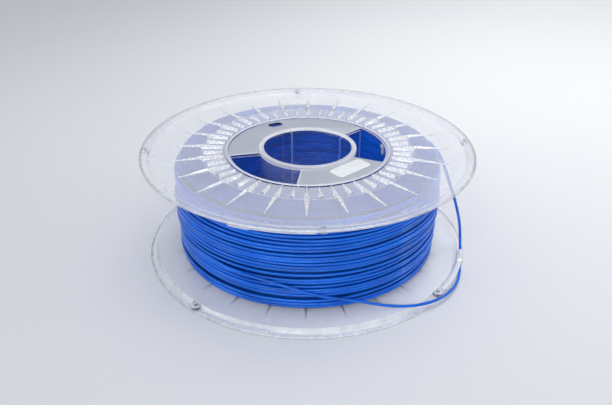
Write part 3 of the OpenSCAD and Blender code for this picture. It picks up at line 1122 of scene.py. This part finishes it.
def make_outer_turns(random):
    """The turns that show, from flange to flange."""
    heights = laid_heights(random, turns_outer, wound_low, wound_high, wander=1.0 * MM)
    radius = winding_r - filament_r + 0.2 * MM + crown(heights)
    radius = radius + slow_noise(random, len(heights), 18, 0.35 * MM)
    path, out = helix(radius, heights, math.radians(150))
    return tube(path, filament_r, out)


def make_under_turns(random):
    """The layer beneath, wound the other way, that shows in the gaps."""
    heights = laid_heights(random, turns_packed, wound_low, wound_high, wander=0.12 * MM)
    radius = winding_r - 2.45 * filament_r - 0.2 * MM + crown(heights)
    path, out = helix(radius, heights, math.radians(20), way=-1)
    return tube(path, filament_r, out, sides=8)


def make_end_spiral(height, start):
    """Turns seen through a flange, one against the next from the drum to the outside."""
    inner, outer = drum_r + filament_r, winding_r - 3 * filament_r
    turns = (outer - inner) / (2 * filament_r + 0.02 * MM)
    count = int(turns * steps_per_turn)
    path, out = helix(np.linspace(inner, outer, count), np.full(count, height), start)
    return tube(path, filament_r, out, sides=8)


def make_inner_turns(random):
    """The first layer, which shows through the drum."""
    low, high = wound_low + 2 * filament_r, wound_high - 2 * filament_r
    heights = laid_heights(random, turns_packed, low, high, wander=0.05 * MM)
    path, out = helix(drum_r + filament_r, heights, tail_az)
    return tube(path, filament_r, out, sides=8)


def make_core():
    """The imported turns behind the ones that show."""
    inner, outer = drum_r + 1.6 * filament_r, winding_r - 3.4 * filament_r - 1 * MM
    low, high = wound_low + 0.5 * filament_r, wound_high - 0.5 * filament_r
    outline = [(inner, low), (outer, low), (outer, high), (inner, high)]
    return swept_ring(rounded(outline, 1.2 * MM))


# Angle in degrees, then height and radius in mm, up to where the loose end leaves the winding.
crossing_route = [
    (-178, 25.2, 79.3), (-160, 24.9, 79.9), (-145, 24.7, 80.7), (-126, 24.5, 81.0),
    (-116, 23.8, 81.1), (-108, 22.9, 81.2), (-101, 21.5, 81.3), (-94, 18.9, 81.3),
    (-87, 15.6, 81.2),
]


def smooth_path(points, steps):
    """A smooth path through points, as a Catmull-Rom curve."""
    points = np.asarray(points, float)
    padded = np.concatenate([[2 * points[0] - points[1]], points, [2 * points[-1] - points[-2]]])
    made = []
    for i in range(len(points) - 1):
        a, b, c, d = padded[i : i + 4]
        for t in np.arange(steps) / steps:
            square, cube = 2 * a - 5 * b + 4 * c - d, 3 * b - a - 3 * c + d
            made.append(0.5 * (2 * b + (c - a) * t + square * t**2 + cube * t**3))
    made.append(points[-1])
    return np.array(made)


def make_crossing_turn():
    """The last turn, which lies across the others and runs out into the loose end."""
    laid = [(*polar(r * MM, math.radians(az)), z * MM) for az, z, r in crossing_route]
    laid += [tuple(c * MM for c in point) for point in lead_route[:2]]
    steps = 10
    path = smooth_path(laid, steps)[: 1 - steps]
    out = path * np.array([1, 1, 0])
    out /= np.linalg.norm(out, axis=1)[:, None]
    return tube(path, filament_r, out)


def make_winding():
    """The wound filament, as turns of strand round a core darkened in painted shade."""
    random = np.random.default_rng(11)
    shapes = {
        "winding_outer_turns": make_outer_turns(random),
        "winding_under_turns": make_under_turns(random),
        "winding_inner_turns": make_inner_turns(random),
        "winding_top_face": make_end_spiral(wound_high, 0.4),
        "winding_bottom_face": make_end_spiral(wound_low, 2.1),
        "winding_crossing_turn": make_crossing_turn(),
    }
    # The turns beneath and the end faces are darker copies of the blue, in painted shade; the first
    # layer a lighter one, in painted light.
    finishes = {
        "winding_under_turns": shaded_under_blue,
        "winding_inner_turns": lit_inner_blue,
        "winding_top_face": shaded_face_blue,
        "winding_bottom_face": shaded_face_blue,
    }
    for name, (points, faces) in shapes.items():
        material = finishes.get(name, strand_blue)
        turns = add_mesh(name, points, faces, material, math.radians(60))
        placed(turns, "filament_winding")
    # The core is a dark copy of the blue: painted shade.
    core = add_mesh("winding_packed_core", *make_core(), shaded_core_blue)
    placed(core, "filament_winding")


def make_inner_end():
    """The first end of the filament, which sticks into the hub through its hole in the drum."""
    path = smooth_path([(r * MM, 0, tail_z) for r in (43, 46, 50.2)], steps=10)
    points, faces = tube(path, filament_r, across)
    piece = add_mesh("filament_tucked_end", turned(points, tail_az), faces, strand_blue)
    placed(piece, "filament_inner_end")


upper_clip_az = clip_eye + upper_clip_shift
upper_boss_top, lower_boss_top = lip_t + 0.8 * MM, lip_t + 2 * MM
make_flange("upper_flange_disc", "upper_flange", upper_clip_az + eye_gap, upper_boss_top, True)
make_flange("lower_flange_disc", "lower_flange", clip_eye - eye_gap, lower_boss_top, False)
make_ribs("upper_sunburst", "upper_sunburst_ribs", True)
make_ribs("lower_sunburst", "lower_sunburst_ribs", False)
make_clips("upper_clips", "upper_rim_clips", upper_clip_az, -1, 0, True)
make_clips("lower_clips", "lower_rim_clips", clip_eye, 1, clip_lift, False)
make_web("upper_web", "upper_hub_web", True)
make_web("lower_web", "lower_hub_web", False)
make_drum()
make_bore_tube()
make_walls()
make_hooks()
make_label("front_label_card", "front_hub_label", 1)
make_label("rear_label_card", "rear_hub_label", 3)
make_label("left_label_card", "left_hub_label", 4)
make_sticker()
make_winding()
make_inner_end()

scene = bpy.context.scene
scene.view_settings.view_transform = "Standard"
scene.cycles.max_bounces = 16
scene.cycles.transparent_max_bounces = 40
